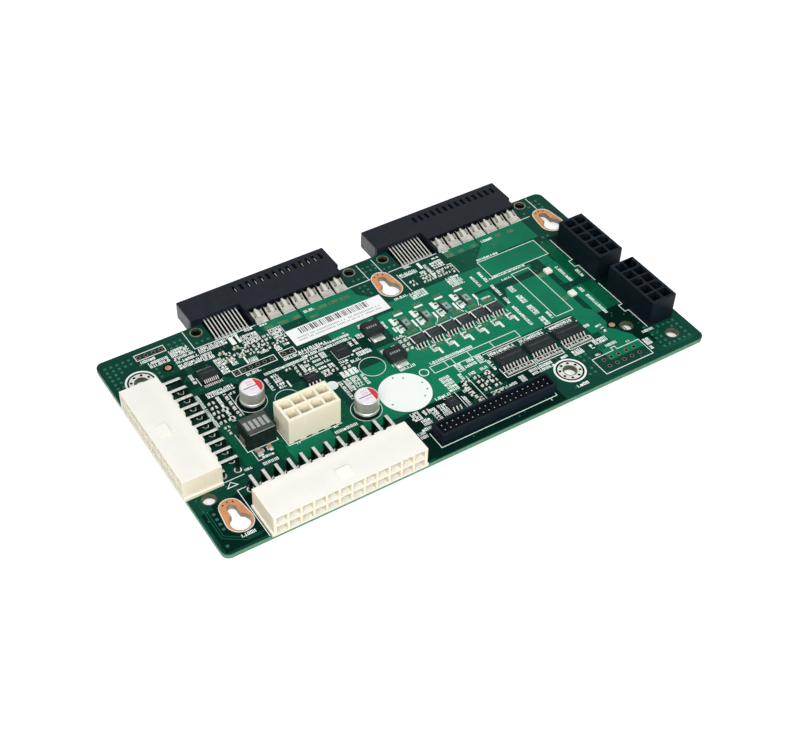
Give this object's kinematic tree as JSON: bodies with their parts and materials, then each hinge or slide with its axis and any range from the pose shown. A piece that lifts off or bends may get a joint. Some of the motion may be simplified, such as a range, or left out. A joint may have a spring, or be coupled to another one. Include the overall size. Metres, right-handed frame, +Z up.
{
  "type": "power supply backplane board",
  "caption": "Flat green circuit board with plug headers along two edges, upright headers on top and two supply connectors on its rear edge; joins plug-in supplies to server cables.",
  "frame": {"origin": "centre of the bounding box on the plane that the lead tails and supply connectors rest on", "axes": "+X along the front edge to the right, +Y from the front edge to the supply connectors, +Z up from the component side"},
  "size_m": [0.1758, 0.1014, 0.0138],
  "materials": {
    "solder_mask": "green solder mask over glass-epoxy laminate",
    "ivory_nylon": "moulded",
    "black_nylon": "moulded",
    "tinned_brass": "tin plated",
    "can_aluminium": "drawn and sleeved on its rim",
    "ferrite": "pressed ferrite",
    "label_paper": "matt paper",
    "lamp_resin": "cast resin",
    "chip_ceramic": "sintered",
    "black_epoxy": "moulded epoxy"
  },
  "bodies": {
    "root": {"capacitor_front_base": "black_nylon", "capacitor_front_can": "can_aluminium", "capacitor_rear_base": "black_nylon", "capacitor_rear_can": "can_aluminium", "chip_capacitors": "chip_ceramic", "chip_gate_parts": "chip_ceramic", "chip_networks": "chip_ceramic", "chip_resistors": "chip_ceramic", "clock_chip": "black_epoxy", "coil_core": "ferrite", "coil_terminals": "tinned_brass", "controller": "black_epoxy", "controller_leads": "tinned_brass", "diode_front_body": "black_epoxy", "diode_front_terminals": "tinned_brass", "diode_rear_body": "black_epoxy", "diode_rear_terminals": "tinned_brass", "driver_1": "black_epoxy", "driver_2": "black_epoxy", "driver_3": "black_epoxy", "driver_leads": "tinned_brass", "fet_1": "black_epoxy", "fet_2": "black_epoxy", "fet_3": "black_epoxy", "fet_4": "black_epoxy", "fet_5": "black_epoxy", "fet_6": "black_epoxy", "fet_leads": "tinned_brass", "header_10_front_housing": "black_nylon", "header_10_front_pins": "tinned_brass", "header_10_rear_housing": "black_nylon", "header_10_rear_pins": "tinned_brass", "header_20_housing": "ivory_nylon", "header_20_pins": "tinned_brass", "header_24_housing": "ivory_nylon", "header_24_pins": "tinned_brass", "header_40_pins": "tinned_brass", "header_40_shroud": "black_nylon", "header_8_housing": "ivory_nylon", "header_8_pins": "tinned_brass", "label": "label_paper", "lamps": "lamp_resin", "monitor": "black_epoxy", "pcb": "solder_mask", "psu_left_housing": "black_nylon", "psu_left_power": "tinned_brass", "psu_left_signal": "tinned_brass", "psu_right_housing": "black_nylon", "psu_right_power": "tinned_brass", "psu_right_signal": "tinned_brass", "regulator": "black_epoxy", "small_leads": "tinned_brass"}
  },
  "joints": []
}
